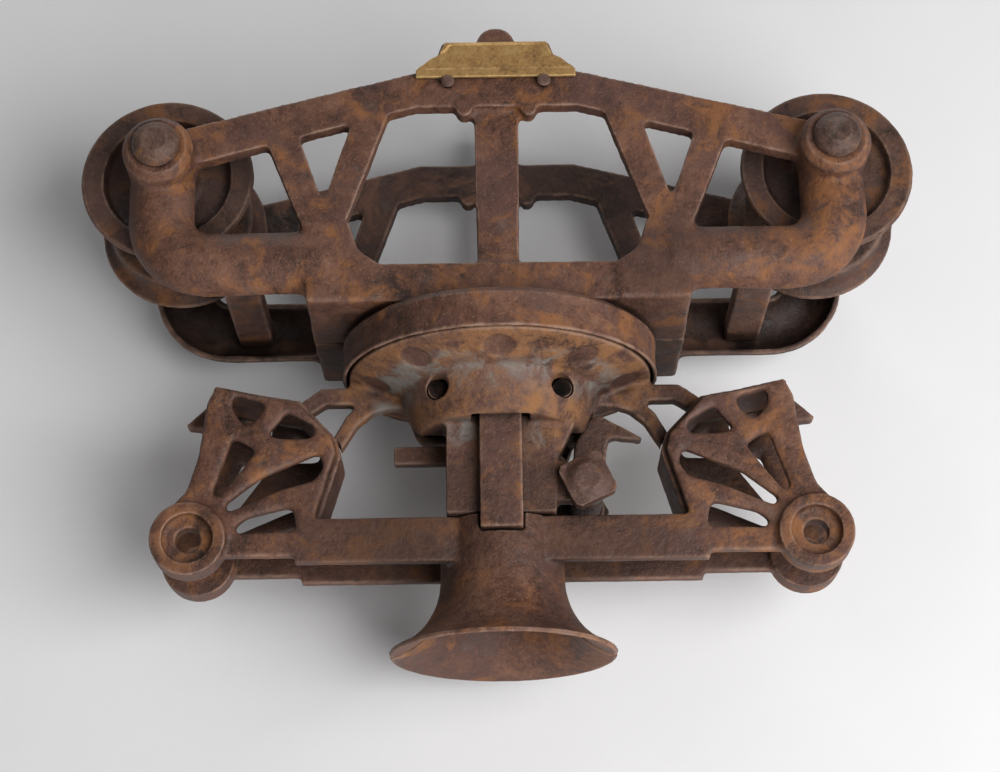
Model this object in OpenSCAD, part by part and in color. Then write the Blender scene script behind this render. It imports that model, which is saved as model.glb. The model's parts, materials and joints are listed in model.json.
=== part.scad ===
// Swivel hay trolley, lying on its side as it is photographed.
// X runs along the track, +Y is the way up when the trolley hangs, +Z faces the viewer.
// Inside the modules y = 0 is the lower edge of the turntable rim and z = 0 is the middle plane.

/* [Wheels] */
// Half the distance between the two axles of one side
axle_x = 228; // [222:1:240]
// Height of the axles over the turntable rim
axle_y = 137; // [135:1:150]
// Radius of a wheel's flange
flange_r = 60.5; // [56:0.5:62]
// Thickness of a wheel's flange
flange_t = 8; // [5:0.5:12]
// Radius of a wheel's tread
tread_r = 52; // [48:0.5:54]
// Inner face of a wheel, from the middle plane
wheel_in_z = 20; // [18:0.5:24]
// Outer face of a wheel's flange, from the middle plane
wheel_out_z = 48; // [44:0.5:52]
// Radius of the dish in a wheel's outer face
dish_r = 41; // [36:0.5:46]
// Radius of the dish in a wheel's inner face
inner_dish_r = 36; // [30:0.5:42]
// Depth of the dishes
dish_depth = 8; // [5:0.5:9]
// Radius of a wheel's hub
hub_r = 20; // [18:0.5:24]

/* [Axles] */
// Radius of an axle bolt
axle_r = 9.5; // [7:0.1:11]
// Wall of a wheel bush
bush_wall = 4; // [2.5:0.1:5]
// Radius of an axle bolt's head
axle_head_r = 14; // [12:0.5:18]
// Height of an axle bolt's head
axle_head_h = 11; // [8:0.5:11]
// Radius of an axle nut over its corners
axle_nut_r = 15; // [13:0.5:17]
// Thickness of an axle nut
axle_nut_t = 7.7; // [5:0.1:7.7]
// End play of a wheel on its axle, at each side
end_play = 0.3; // [0.2:0.05:0.6]

/* [Side frames] */
// Outer face of a side frame, from the middle plane
frame_z = 79; // [76:0.5:84]
// Thickness of the flat bars of a side frame
bar_t = 13; // [9:0.5:15]
// Half the height of a roof bar
roof_half = 13.5; // [11:0.5:15]
// Half the length of the level part of the roof
roof_flat_x = 57; // [48:1:64]
// Height of the middle of the roof
roof_y = 186; // [182:1:192]
// Half the width of a V strut
strut_half = 10; // [7:0.5:12]
// Half the width of the centre post
post_half = 16; // [12:0.5:20]
// Depth that the centre post lies behind the bars
post_recess = 5; // [3:0.5:7]
// Height of the peak over the middle of the roof
peak_h = 49; // [44:1:54]
// Radius of an axle boss
boss_r = 24.5; // [21:0.5:27]
// Outer face of an axle boss, from the middle plane
boss_z = 98; // [92:0.5:98]
// Radius of the half round arm
arm_r = 23; // [20:0.5:24]
// Wall of the half round arm
arm_wall = 5.5; // [4:0.5:7]
// Height of the middle of the level part of the arm
arm_y = 64.5; // [62:0.5:68]
// Plane of the arm's open side, from the middle plane
arm_z = 60; // [58:0.5:63]
// Radius of the bend in the arm
bend_r = 33; // [28:0.5:40]
// Half the length of a side frame's foot
foot_x = 129; // [126:1:138]
// Thickness of the foot plate that lies on the turntable
foot_t = 9; // [6:0.5:9.5]
// Thickness of the wall that closes the arm's root
end_wall = 15; // [10:0.5:18]
// Depth that the lower bar lies behind its corners
sill_recess = 2; // [0.5:0.5:4]
// Height of the lower bar's upper edge
sill_y = 59; // [54:0.5:62]

/* [Cross ties] */
// Distance of a cross tie from the middle
tie_x = 177; // [168:1:184]
// Width of a cross tie
tie_w = 26; // [18:1:32]
// Thickness of a cross tie
tie_t = 14; // [10:0.5:18]
// Radius of a tie rivet
tie_rivet_r = 5; // [3:0.1:6]

/* [Turntable] */
// Gap between the swivel flange and the turntable rim
rim_clear = 1; // [0.6:0.1:2]
// Wall of the turntable rim
rim_wall = 4; // [3:0.5:6]
// Height of the turntable ring
ring_h = 30; // [28:0.5:34]
// Thickness of the turntable's top plate
ring_plate = 10; // [7:0.5:11]
// Radius of the turntable's hub
ring_hub_r = 44; // [40:0.5:50]
// Height of the hub over the top plate
ring_hub_h = 10; // [6:0.5:12]
// Radius of a frame stud
stud_r = 5; // [3:0.5:6]
// Distance of a frame stud from the middle
stud_x = 52; // [40:1:60]

/* [Swivel head] */
// Radius of the swivel flange
swivel_r = 104; // [100:0.5:106]
// Height of the top of the swivel flange
swivel_top = 12; // [10:0.5:14]
// Radius of the king post
king_r = 30; // [26:0.5:34]
// Radius of the rope hole in the king post
king_bore_r = 20; // [15:0.5:23]
// Radius of the king collar
collar_r = 42; // [38:0.5:48]
// Height of the king collar
collar_h = 10; // [7:0.5:12]
// Radius of the drum under the cone
drum_r = 69; // [66:0.5:74]
// Radius of the drum at its lower edge
drum_low_r = 59; // [57:0.5:64]
// Height of the cone between the swivel flange and the drum
cone_depth = 12; // [6:0.5:12]
// Wall of the drum, at its top
drum_wall = 7; // [5:0.5:8]
// Depth of the drum under the turntable rim
drum_depth = 41; // [40.5:0.5:46]
// Thickness of the drum's floor
drum_floor = 6; // [4:0.5:8]
// Half the width of the throat along the track
throat_x = 37; // [34:0.5:40]
// Half the width of the throat across the track
throat_z = 36; // [33:0.5:38]
// Wall of the throat
throat_wall = 8; // [5:0.5:9]
// Distance of a drum pin from the middle
jaw_x = 41.5; // [40:0.5:44]
// Depth of a drum pin under the turntable rim
jaw_y = 20; // [19:0.5:22]
// Radius of a drum pin
jaw_pin_r = 7; // [5:0.1:7.5]
// Half the length of a drum pin
jaw_pin_half = 44; // [43:0.5:50]
// Half the thickness of a windowed web
web_half = 5.5; // [4:0.5:7]

/* [Yoke and bell] */
// Distance of a rope boss from the middle
rope_x = 207; // [200:1:214]
// Depth of a rope boss under the turntable rim
rope_y = 118; // [114:0.5:120]
// Radius of a rope boss
rope_boss_r = 25.5; // [22:0.5:28]
// Radius of the rope pin's hole
rope_hole_r = 8; // [6:0.1:10]
// Radius of the dish in a rope boss
rope_dish_r = 16.5; // [14:0.5:19]
// Depth of the dish in a rope boss
rope_dish_depth = 6; // [3:0.5:8]
// Inner face of a rope boss, from the middle plane
rope_in_z = 18; // [16:0.5:20]
// Outer face of a rope boss, from the middle plane
rope_out_z = 37; // [35:0.5:40]
// Inner face of the yoke's plates, from the middle plane
yoke_in_z = 22; // [21:0.5:24]
// Thickness of the yoke's plates
yoke_t = 9; // [7:0.5:11]
// Depth of the yoke arm's upper edge under the turntable rim
yoke_top = 104; // [102:0.5:108]
// Height of the yoke arm
yoke_h = 31; // [28:0.5:34]
// Depth that a rope guard's foot is let into the yoke arm
guard_sink = 13; // [12:0.5:15]
// Thickness of the wall that joins the two rope guards
guard_wall = 6; // [4:0.5:8]
// Outer radius of the bell's neck
neck_r = 42; // [39:0.5:46]
// Inner radius of the bell's neck
neck_bore_r = 33; // [28:0.5:35]
// Depth at which the bell starts to flare
flare_y = 141; // [138:0.5:146]
// Radius of the flare's curve
flare_r = 52; // [48:0.5:58]
// Angle that the flare turns through
flare_deg = 70; // [60:1:76]
// Half the gap between the two bell rims
rim_gap = 3; // [0.5:0.5:4]

/* [Straps and lever] */
// Width of a throat strap
strap_w = 29; // [24:1:34]
// Thickness of a throat strap
strap_t = 10; // [6:0.5:11]
// Depth of a strap's lower end under the turntable rim
strap_low = 116; // [112:0.5:122]
// Depth of a strap's upper end under the turntable rim
strap_high = 24; // [20:0.5:30]
// Distance of the lever's bolt from the middle
lever_x = 57; // [55:0.5:60]
// Depth of the lever's bolt under the turntable rim
lever_y = 83; // [80:0.5:84]
// Radius of the lever's bolt
lever_bolt_r = 8; // [6:0.1:9]
// Radius of the lever bolt's head
lever_head_r = 20; // [15:0.5:20]
// Half the thickness of the lever
lever_half = 5; // [3.5:0.5:6]

/* [Name plate] */
// Half the width of the name plate's foot
plate_foot_x = 55; // [48:1:60]
// Half the width of the name plate's top
plate_top_x = 35; // [28:1:40]
// Height of the name plate's foot over the middle of the roof
plate_low = 8; // [4:0.5:10]
// Height of the name plate
plate_h = 27; // [22:0.5:30]
// Thickness of the name plate
plate_t = 3; // [2:0.5:5]
// Distance of a plate rivet from the middle
plate_rivet_x = 33; // [20:1:44]

/* [Hidden] */
$fn = 64;

iron = [0.33, 0.21, 0.15];
dark_iron = [0.26, 0.17, 0.13];
bolt_iron = [0.38, 0.28, 0.22];
old_brass = [0.47, 0.40, 0.22];

// Fits: turning pairs, and castings that are set beside each other
run_gap = 0.05;
seat_gap = 0.3;
eps = 0.01;
side_skin = 0.04;
through = 400;

// Outline of the bell: points from the neck to the rim, and the rim's own size
flare_steps = 8;
flare_out = [for (i = [0:flare_steps]) let (a = flare_deg * i / flare_steps)
    [neck_r + flare_r * (1 - cos(a)), flare_y + flare_r * sin(a)]];
bell_wall = neck_r - neck_bore_r;
rim_wall_t = 4;
bell_r = flare_out[flare_steps][0];
bell_low = flare_out[flare_steps][1] + rim_wall_t * sin(flare_deg);

// The lying frame: the box's middle is over the origin, and the turntable rim is on the floor
peak_y = roof_y + peak_h;
shift_y = (bell_low - peak_y) / 2;
ring_r = swivel_r + rim_clear + rim_wall;
lying_z = max(ring_r, boss_z + axle_head_h);

frame_in_z = frame_z - bar_t;
hub_in_z = wheel_in_z + dish_depth;
hub_out_z = arm_z - end_play;
sill_bottom = ring_h;
plate_y = roof_y + plate_low;
lug_in_z = yoke_in_z;
lug_out_z = lug_in_z + 12;
axle_p = [axle_x, axle_y];
rope_p = [rope_x, -rope_y];
lever_p = [lever_x, -lever_y];

// Rivets that stay under the surface, and how thick the iron over their ends is
rivet_cover = 2;

// Yoke arm: the step in its lower edge, and the face where the rope boss is set on
arm_step_x = 137;
arm_step = 5;
arm_end = [rope_x - rope_boss_r - 3, -yoke_top - yoke_h + arm_step];

// Rope guard: its corners, from the arm round the throat side to the outer edge
g_foot = [rope_x - 83, -yoke_top];
g_low = [rope_x - 97, -58];
g_knee = [rope_x - 94, -47];
g_upper = [rope_x - 70, -21];
g_mid = [rope_x - 47, -17];
g_corner = [rope_x - 15, -10];
g_edge_a = [rope_x - 9, -22];
g_edge_b = [rope_x - 4, -60];
g_edge_c = [rope_x + 3, -84];
g_boss_side = [rope_x + 20, -rope_y + 14];

// Rope guard: three slots that fan out from the boss and two windows, measured from the boss's middle
guard_holes = [
    [[-68, 22], [-71, 6], [-33, 4.5], [-30, 8], [-38, 14.5]],
    [[-86, 59], [-48, 43], [-23, 23.5], [-26, 20], [-60, 35], [-82, 41], [-88, 50]],
    [[-43, 62], [-28, 71], [-15, 31], [-19, 29.5]],
    [[-49, 95], [-28, 101], [-27, 92], [-33, 83], [-37, 80], [-45, 87]],
    [[-82, 78], [-63, 89], [-59, 82], [-51, 73], [-59, 71], [-81, 71]]
];

function along(p, q) = (q - p) / norm(q - p);
function across(p, q) = [-along(p, q)[1], along(p, q)[0]];

// Puts a piece from the drawing's place into the lying frame
module lay() { translate([0, shift_y, lying_z]) children(); }

// A flat shape between two planes
module slab(z0, z1) { translate([0, 0, z0]) linear_extrude(z1 - z0) children(); }

// A shape and its mirror image at the other end of the trolley
module both_ends() {
    children();
    mirror([1, 0, 0]) children();
}

// A shape and its mirror image at the far side
module both_sides() {
    children();
    mirror([0, 0, 1]) children();
}

// A run of bars through points, with a round of its own radius at each point
// The straight sides lie a hair inside the rounds, so that they cross them and don't only touch
module chain(points, radii) {
    for (i = [0:len(points) - 1]) translate(points[i]) circle(radii[i]);
    for (i = [0:len(points) - 2]) {
        p = points[i];
        q = points[i + 1];
        np = across(p, q) * (radii[i] - side_skin);
        nq = across(p, q) * (radii[i + 1] - side_skin);
        polygon([p + np, q + nq, q - nq, p - np]);
    }
}

// A bar with round ends, which may taper
module bar(p, rp, q, rq) { chain([p, q], [rp, rq]); }

// A round pin along z
module pin_z(p, r, z0, z1) { translate([p[0], p[1], z0]) cylinder(r = r, h = z1 - z0); }

// A round pin along y
module pin_y(x, z, r, y0, y1) { translate([x, y1, z]) rotate([90, 0, 0]) cylinder(r = r, h = y1 - y0); }

// A turned shape about the swivel axis: x is the radius, y the depth under the turntable rim
module turned(turn = 360) { rotate([90, 0, 0]) rotate_extrude(angle = turn) children(); }

// A low round head on a face that looks along +z
module round_head(p, r, z, h) {
    pin_z(p, r, z, z + h / 2);
    translate([p[0], p[1], z + h / 2]) cylinder(r1 = r, r2 = r * 0.6, h = h / 2);
}

// Side frame: the half round arm from the foot to the axle boss
module arm_section() {
    difference() {
        circle(arm_r);
        circle(arm_r - arm_wall);
        translate([-arm_r, -2 * arm_r]) square(2 * arm_r);
    }
}

module arm() {
    level_x = foot_x - end_wall;
    bend_x = axle_x - bend_r;
    translate([level_x, arm_y, arm_z]) rotate([90, 0, 90]) linear_extrude(bend_x - level_x) arm_section();
    translate([bend_x, arm_y + bend_r, arm_z]) rotate([0, 0, -90]) rotate_extrude(angle = 90)
        translate([bend_r, 0]) arm_section();
    translate([axle_x, axle_y, arm_z]) rotate([90, 0, 0])
        linear_extrude(axle_y - arm_y - bend_r) arm_section();
}

module axle_boss() {
    boss_edge = 6;
    pin_z(axle_p, boss_r, arm_z, boss_z - boss_edge);
    translate([axle_x, axle_y, boss_z - boss_edge]) cylinder(r1 = boss_r, r2 = boss_r - 4, h = boss_edge);
}

// Side frame: the flat trusswork of one end
module truss() {
    strut_y = arm_y + arm_r - 3;
    strut_x = 117;
    shoulder = [roof_flat_x, roof_y];
    slope = (axle_y - roof_y) / (axle_x - roof_flat_x);
    outer_x = 149;
    inner_x = 82;
    bar(axle_p + [-8, 6], roof_half + 1, shoulder, roof_half);
    translate([0, roof_y - roof_half]) square([roof_flat_x, 2 * roof_half]);
    inner_top = [inner_x, roof_y + slope * (inner_x - roof_flat_x)];
    outer_top = [outer_x, roof_y + slope * (outer_x - roof_flat_x)];
    bar([strut_x - 4, strut_y], strut_half, inner_top, strut_half + 2);
    bar([strut_x + 4, strut_y], strut_half, outer_top, strut_half + 2);
}

// Side frame: the corner pads under the struts, and the lower bar between them
corner_in = 80;

module corner_pad() {
    corner_out = 99;
    corner_y = arm_y + arm_r;
    polygon([
        [corner_in, sill_bottom], [foot_x, sill_bottom], [foot_x, arm_y], [foot_x - 4, corner_y],
        [corner_out, corner_y], [corner_out - 6, sill_y + 10], [corner_in, sill_y]
    ]);
}

module lower_bar() { translate([0, sill_bottom]) square([corner_in + 1, sill_y - sill_bottom]); }

module peak() {
    peak_half = 18;
    tip_r = 14;
    polygon([
        [-peak_half, roof_y], [peak_half, roof_y],
        [tip_r - side_skin, peak_y - tip_r], [-tip_r + side_skin, peak_y - tip_r]
    ]);
    translate([0, peak_y - tip_r]) circle(tip_r);
}

// Outline of the name plate, with stepped shoulders; inset makes the tab behind it
module plate_outline(inset) {
    step_y = plate_y + plate_h * 0.55;
    step_x = (plate_foot_x + plate_top_x) / 2;
    low = plate_y + inset;
    high = plate_y + plate_h - inset;
    polygon([
        [-plate_foot_x + inset, low], [plate_foot_x - inset, low], [plate_foot_x - inset, low + 6],
        [step_x - inset, step_y], [plate_top_x - inset + 4, step_y + 3], [plate_top_x - inset, high],
        [-plate_top_x + inset, high], [-plate_top_x + inset - 4, step_y + 3],
        [-step_x + inset, step_y], [-plate_foot_x + inset, low + 6]
    ]);
}

module side_frame(has_tab) {
    nut_x = 22;
    tab_edge = 2;
    difference() {
        union() {
            both_ends() {
                slab(frame_in_z, frame_z) truss();
                slab(frame_in_z, frame_z) corner_pad();
                slab(frame_in_z, frame_z - sill_recess) lower_bar();
                arm();
                axle_boss();
                slab(seat_gap, frame_in_z + eps) translate([0, sill_bottom]) square([foot_x, foot_t]);
                slab(arm_z, frame_in_z + eps) translate([foot_x - end_wall, sill_bottom])
                    square([end_wall, arm_y + arm_r - sill_bottom]);
            }
            slab(frame_in_z, frame_z - post_recess)
                polygon([
                    [-post_half, roof_y], [post_half, roof_y],
                    [post_half - 1.5, sill_y - 3], [-post_half + 1.5, sill_y - 3]
                ]);
            slab(frame_in_z + 1, frame_z - 1) peak();
            if (has_tab) slab(frame_in_z + 1, frame_z) plate_outline(-tab_edge);
            for (x = [-nut_x, nut_x]) pin_z([x, roof_y - roof_half - 1], 6, frame_in_z, frame_z);
        }
        pin_y(0, 0, max(ring_hub_r, collar_r) + seat_gap, sill_bottom - 1, sill_bottom + foot_t + 1);
        both_ends() {
            pin_z(axle_p, axle_r + run_gap, 0, through);
            pin_z([tie_x, arm_y], tie_rivet_r + run_gap, 0, tie_rivet_end());
            if (has_tab) pin_z(plate_rivet_p(), plate_rivet_r() + run_gap, plate_rivet_z(), through);
        }
        for (x = [-stud_x, stud_x]) pin_y(x, stud_z(), stud_r + run_gap, 0, through);
    }
}

function stud_z() = frame_in_z - 2 * stud_r;

module near_side_frame() { color(iron) lay() side_frame(true); }
module far_side_frame() { color(iron) lay() mirror([0, 0, 1]) side_frame(false); }

// Turntable ring: a dished plate with a rim, and the hub that the king post turns in
module turntable_ring() {
    plate_y0 = ring_h - ring_plate;
    land_out = swivel_r - 4;
    land_past_stud = 0.58;
    land_in = norm([stud_x, stud_z()]) + land_past_stud;
    bead_r = rim_wall / 2;
    edge = 5;
    color(iron) lay() difference() {
        union() {
            turned() {
                polygon([
                    [king_r + run_gap, -ring_h - ring_hub_h], [ring_hub_r, -ring_h - ring_hub_h],
                    [ring_hub_r, -ring_h], [ring_r - edge, -ring_h], [ring_r - 1, -ring_h + edge],
                    [ring_r - 1, 0], [ring_r - rim_wall, 0], [ring_r - rim_wall, -plate_y0],
                    [land_out, -plate_y0], [land_out, -swivel_top - end_play],
                    [land_in, -swivel_top - end_play], [land_in, -plate_y0], [king_r + run_gap, -plate_y0]
                ]);
                translate([ring_r - bead_r, -bead_r]) circle(bead_r);
                translate([ring_r - bead_r, -ring_h + edge + 1]) circle(bead_r);
            }
        }
        for (x = [-stud_x, stud_x], s = [-1, 1])
            pin_y(x, s * stud_z(), stud_r + run_gap, plate_y0 - eps, ring_h + 1);
    }
}

// Studs that hold the side frames on the turntable ring
module frame_studs() {
    color(bolt_iron) lay() for (x = [-stud_x, stud_x], s = [-1, 1])
        pin_y(x, s * stud_z(), stud_r, ring_h - ring_plate, sill_bottom + foot_t);
}

module name_plate() {
    border = 2.5;
    color(old_brass) lay() difference() {
        slab(frame_z, frame_z + plate_t) plate_outline(0);
        slab(frame_z + plate_t - 0.8, frame_z + plate_t + 1)
            translate([0, border]) plate_outline(border * 1.5);
    }
}

// Plate rivets: they stand in the roof bar, and their heads hold down the plate's lower edge
function plate_rivet_r() = 2.5;
function plate_rivet_p() = [plate_rivet_x, plate_y - plate_rivet_r() - 1];
function plate_rivet_z() = frame_z - 7;

module name_plate_rivets() {
    head_r = 4.8;
    head_h = 2.5;
    color(dark_iron) lay() both_ends() {
        pin_z(plate_rivet_p(), plate_rivet_r(), plate_rivet_z(), frame_z + plate_t);
        round_head(plate_rivet_p(), head_r, frame_z + plate_t, head_h);
    }
}

// Cross tie: a flat bar whose ends lie in the two arms' channels
module cross_tie(side) {
    reach = arm_z + sqrt(pow(arm_r - arm_wall, 2) - pow(tie_t / 2, 2)) - run_gap;
    color(iron) lay() difference() {
        translate([side * tie_x - tie_w / 2, arm_y - tie_t / 2, -reach]) cube([tie_w, tie_t, 2 * reach]);
        both_sides() pin_z([side * tie_x, arm_y], tie_rivet_r + run_gap, tie_rivet_z(), through);
    }
}

function tie_rivet_z() = arm_z - 10;
function tie_rivet_end() = arm_z + arm_r - rivet_cover;

module left_cross_tie() { cross_tie(-1); }
module right_cross_tie() { cross_tie(1); }

module tie_rivets() {
    color(bolt_iron) lay() both_sides() both_ends()
        pin_z([tie_x, arm_y], tie_rivet_r, tie_rivet_z(), tie_rivet_end());
}

// Axle: a bolt with a round head that is fixed in the boss and carries one wheel
module axle(end, side) {
    crown_h = 4;
    color(bolt_iron) lay() at_corner(end, side) {
        pin_z(axle_p, axle_r, wheel_in_z, boss_z);
        pin_z(axle_p, axle_head_r, boss_z, boss_z + axle_head_h - crown_h);
        translate([axle_x, axle_y, boss_z + axle_head_h - crown_h])
            cylinder(r1 = axle_head_r, r2 = axle_head_r - 5, h = crown_h);
    }
}

// Mirrors a piece of the near right corner to another corner
module at_corner(end, side) {
    mirror([end < 0 ? 1 : 0, 0, 0]) mirror([0, 0, side < 0 ? 1 : 0]) children();
}

module near_left_axle() { axle(-1, 1); }
module near_right_axle() { axle(1, 1); }
module far_left_axle() { axle(-1, -1); }
module far_right_axle() { axle(1, -1); }

module axle_nuts() {
    color(bolt_iron) lay() both_ends() both_sides() difference() {
        translate([axle_x, axle_y, hub_in_z - end_play - axle_nut_t])
            cylinder(r = axle_nut_r, h = axle_nut_t, $fn = 6);
        pin_z(axle_p, axle_r + run_gap, 0, through);
    }
}

// Wheel: a flange beside the frame, a tread beside the track, and a hub in a dish on each face
module wheel(end, side) {
    web_out = wheel_out_z - dish_depth;
    round_edge = 2;
    color(dark_iron) lay() at_corner(end, side) translate([axle_x, axle_y, 0]) rotate_extrude()
        polygon([
            [axle_r + run_gap + bush_wall + run_gap, hub_in_z],
            [hub_r, hub_in_z], [inner_dish_r - 4, hub_in_z], [inner_dish_r, wheel_in_z],
            [tread_r - round_edge, wheel_in_z], [tread_r, wheel_in_z + round_edge],
            [tread_r + 1, wheel_out_z - flange_t - 1], [flange_r - 1, wheel_out_z - flange_t + 2],
            [flange_r, wheel_out_z - flange_t / 2], [flange_r - round_edge, wheel_out_z],
            [dish_r + 3, wheel_out_z], [dish_r, web_out], [hub_r + 2, web_out], [hub_r, hub_out_z],
            [axle_r + run_gap + bush_wall + run_gap, hub_out_z]
        ]);
}

module near_left_wheel() { wheel(-1, 1); }
module near_right_wheel() { wheel(1, 1); }
module far_left_wheel() { wheel(-1, -1); }
module far_right_wheel() { wheel(1, -1); }

module bush(end, side) {
    color(bolt_iron) lay() at_corner(end, side) difference() {
        pin_z(axle_p, axle_r + run_gap + bush_wall, hub_in_z, hub_out_z);
        pin_z(axle_p, axle_r + run_gap, 0, through);
    }
}

module near_left_bush() { bush(-1, 1); }
module near_right_bush() { bush(1, 1); }
module far_left_bush() { bush(-1, -1); }
module far_right_bush() { bush(1, -1); }

// Swivel head: flange and king post, drum, and the windowed webs to the rope guards
king_top = ring_h + ring_hub_h + end_play + collar_h + 3;
collar_low = ring_h + ring_hub_h + end_play;

module swivel_web() {
    knee = [rope_x - 86, -10];
    chain([[drum_r - 2, -9], knee, g_upper], [7, 6.5, 6]);
    low = [[drum_r - 5, -13], [drum_r + 10, -14], [drum_r + 22, -18], [drum_r + 33, -28], g_knee];
    chain(low, [6.5, 6, 6, 5.5, 5]);
}

// The drum's bore narrows downward, and leaves this room round the jaws' hubs
jaw_room = 1.918;

module drum_shape() {
    drum_edge = 3;
    bore_roof = 4;
    bore_deep = drum_depth - drum_floor;
    bore_top_r = drum_r - drum_wall;
    bore_jaw_r = norm([jaw_x + jaw_hub_r(), jaw_fork_out()]) + jaw_room;
    bore_low_r = bore_top_r + (bore_jaw_r - bore_top_r) * (bore_deep + bore_roof) / (jaw_y + bore_roof);
    polygon([
        [king_bore_r, -king_top], [king_r, -king_top], [king_r, -swivel_top], [swivel_r, -swivel_top],
        [swivel_r, 0], [drum_r, cone_depth], [drum_low_r, drum_depth - drum_edge],
        [drum_low_r - drum_edge, drum_depth], [0, drum_depth], [0, bore_deep],
        [bore_low_r, bore_deep], [bore_top_r, -bore_roof], [king_bore_r, -bore_roof]
    ]);
}

// Shallow round hollows in the cone, square to its face
module swivel_dimples() {
    dimple_count = 9;
    dimple_r = 11;
    dimple_depth = 1.6;
    slope = atan2(cone_depth, swivel_r - drum_r);
    for (i = [0:dimple_count - 1]) rotate([0, 360 * i / dimple_count, 0])
        translate([0, -cone_depth / 2, (swivel_r + drum_r) / 2]) rotate([90 - slope, 0, 0])
            translate([0, 0, -dimple_depth]) cylinder(r = dimple_r, h = 3 * dimple_depth);
}

// Cuts that the drum's floor and the throat share: the way for the pulley's head, and the lever's slots
module throat_way() {
    inner_x = throat_x - throat_wall;
    inner_z = throat_z - throat_wall;
    translate([-inner_x, -yoke_top - 1, -inner_z])
        cube([2 * inner_x, yoke_top + 1 - drum_depth + drum_floor + 1, 2 * inner_z]);
}

module lever_slots() {
    slot_half = lever_half + 3;
    right_low = lever_y + 12;
    right_high = drum_depth - 16.5;
    left_low = lever_y - 15;
    left_high = drum_depth - 9;
    translate([0, -right_low, -slot_half]) cube([drum_r, right_low - right_high, 2 * slot_half]);
    translate([-drum_r, -left_low, -slot_half]) cube([drum_r, left_low - left_high, 2 * slot_half]);
}

module swivel_head() {
    strap_slot = strap_w / 2 + 4.5;
    color(iron) lay() difference() {
        union() {
            turned() drum_shape();
            difference() {
                slab(-web_half, web_half) both_ends() swivel_web();
                pin_y(0, 0, drum_r - drum_wall, -drum_depth, 0);
                both_ends() slab(-through, through) {
                    guard_wall_outline(seat_gap);
                    guard_sheet();
                }
            }
        }
        throat_way();
        lever_slots();
        both_sides() translate([-strap_slot, -drum_depth - 1, throat_z - seat_gap])
            cube([2 * strap_slot, drum_floor + 2, strap_t + 5]);
        for (x = [-jaw_x, jaw_x]) pin_z([x, -jaw_y], jaw_pin_r + run_gap, -through, through);
        swivel_dimples();
        pin_x(collar_pin_y(), collar_pin_r() + run_gap, through);
    }
}

// Throat: a square pipe under the drum's floor, with two lugs for the lever's bolt and a gusset over each
module lever_lug() {
    gusset = 13;
    bar(lever_p, lug_r(), [throat_x - 4, -lever_y + 2], lug_r());
    lug_top = -lever_y + lug_r();
    polygon([[0, -drum_depth], [throat_x + gusset, -drum_depth], [throat_x, lug_top], [0, lug_top]]);
}

function lug_r() = 14;

module throat() {
    color(iron) lay() difference() {
        union() {
            translate([-throat_x, -yoke_top, -throat_z])
                cube([2 * throat_x, yoke_top - drum_depth, 2 * throat_z]);
            both_sides() slab(lug_in_z, lug_out_z) lever_lug();
        }
        throat_way();
        lever_slots();
        pin_z(lever_p, lever_bolt_r + run_gap, -through, through);
    }
}

function collar_pin_r() = 4;
function collar_pin_y() = collar_low + collar_h / 2;

// A round pin along x, through the swivel axis
module pin_x(y, r, length) {
    translate([-length / 2, y, 0]) rotate([0, 90, 0]) cylinder(r = r, h = length);
}

module king_collar() {
    color(bolt_iron) lay() difference() {
        pin_y(0, 0, collar_r, collar_low, collar_low + collar_h);
        pin_y(0, 0, king_r + run_gap, collar_low - 1, collar_low + collar_h + 1);
        pin_x(collar_pin_y(), collar_pin_r() + run_gap, through);
    }
}

// Two short cross pins that hold the collar on the hollow king post
module collar_pin() {
    color(bolt_iron) lay() both_ends() translate([king_bore_r, collar_pin_y(), 0]) rotate([0, 90, 0])
        cylinder(r = collar_pin_r(), h = collar_r - king_bore_r);
}

// Rope guard: a slotted plate with a dished rope boss, whose foot is let into the yoke's arm
module guard_sheet() {
    polygon([
        g_foot - [0, guard_sink], g_foot, g_low, g_knee, g_upper, g_mid, g_corner,
        g_edge_a, g_edge_b, g_edge_c, g_boss_side, rope_p,
        [rope_x, arm_end[1]], arm_end, [arm_end[0], -yoke_top - guard_sink]
    ]);
}

module guard_wall_outline(grow) {
    half = guard_wall / 2 + grow;
    corners = [g_corner, g_mid, g_upper, g_knee, g_low, g_foot];
    chain(corners, [for (c = corners) half]);
}

module guard_slots() {
    for (outline = guard_holes) polygon([for (p = outline) rope_p + p]);
}

module rope_guard(end, side) {
    color(iron) lay() at_corner(end, side) {
        difference() {
            slab(yoke_in_z, yoke_in_z + yoke_t) guard_sheet();
            slab(0, through) guard_slots();
            pin_z(rope_p, rope_boss_r - 2, 0, through);
        }
        difference() {
            pin_z(rope_p, rope_boss_r, rope_in_z, rope_out_z);
            pin_z(rope_p, rope_dish_r, rope_out_z - rope_dish_depth, through);
            pin_z(rope_p, rope_hole_r, 0, through);
        }
    }
}

module near_left_guard() { rope_guard(-1, 1); }
module near_right_guard() { rope_guard(1, 1); }
module far_left_guard() { rope_guard(-1, -1); }
module far_right_guard() { rope_guard(1, -1); }

// Guard wall: it joins the near and the far guard, and has a pointed tooth at its outer end
module guard_tooth() {
    polygon([g_edge_a + [-10, 12], g_edge_a + [0, 9], g_edge_a + [17, -7], g_edge_a + [15, -10],
        g_edge_a + [0, -11], g_edge_a + [-10, -2]]);
}

module guard_wall_piece(end) {
    color(iron) lay() at_corner(end, 1) {
        slab(-yoke_in_z, yoke_in_z) guard_wall_outline(0);
        slab(-web_half, web_half) guard_tooth();
    }
}

module left_guard_wall() { guard_wall_piece(-1); }
module right_guard_wall() { guard_wall_piece(1); }

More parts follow.
